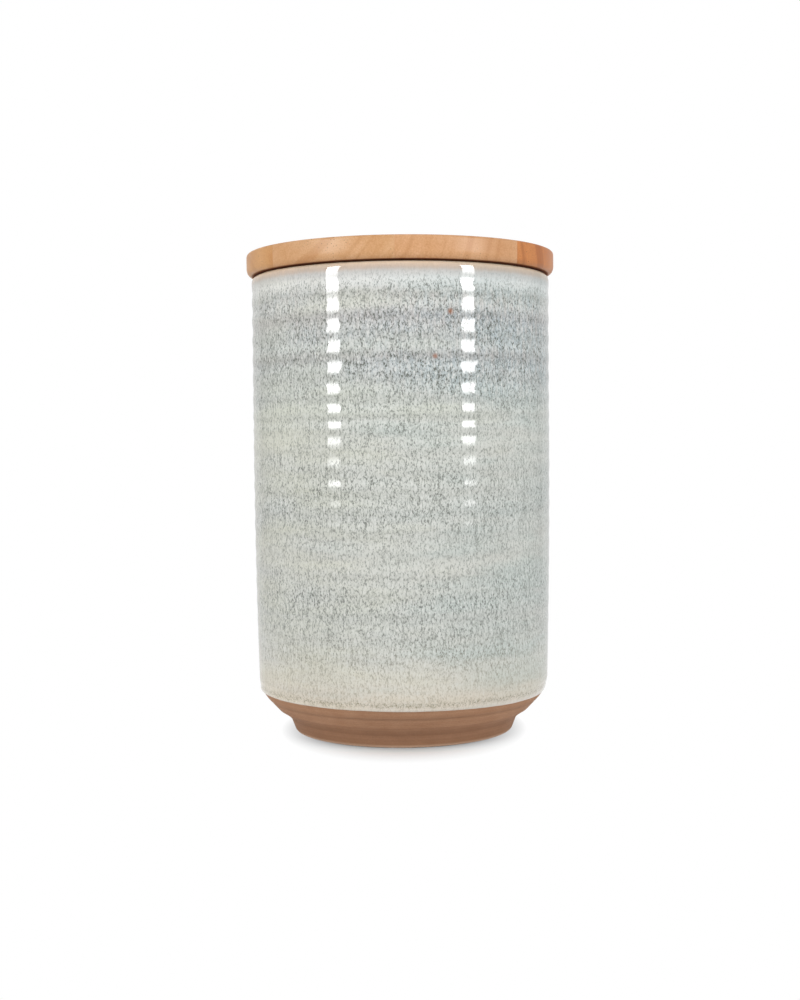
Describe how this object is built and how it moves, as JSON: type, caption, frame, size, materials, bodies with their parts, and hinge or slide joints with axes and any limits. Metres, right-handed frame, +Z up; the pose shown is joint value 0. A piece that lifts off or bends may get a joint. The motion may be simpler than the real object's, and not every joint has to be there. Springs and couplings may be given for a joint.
{
  "type": "stoneware canister",
  "caption": "Tall round stoneware food canister with a speckled glaze, a bare clay foot and a flat turned wooden lid that lifts off.",
  "frame": {"origin": "on the table, at the centre of the foot", "axes": "+Z up, along the axis of the jar; the boards of the lid run along Y"},
  "size_m": [0.12, 0.12, 0.1858],
  "materials": {
    "bare_stoneware": "matte",
    "speckled_glaze": "gloss",
    "liner_glaze": "gloss",
    "pale_wood": "satin",
    "red_wood": "satin",
    "silicone": "satin"
  },
  "bodies": {
    "jar": {"stoneware_body": "bare_stoneware", "outer_glaze": "speckled_glaze", "liner_glaze": "liner_glaze"},
    "lid": {"lid_board_1": "red_wood", "lid_board_2": "pale_wood", "lid_board_3": "pale_wood", "lid_board_4": "pale_wood", "lid_plug": "pale_wood", "lid_seal": "silicone"}
  },
  "joints": [
    {"name": "lid_lift", "type": "slide", "parent": "jar", "child": "lid", "axis": [0, 0, 1], "range_m": [0, 0.12]}
  ]
}
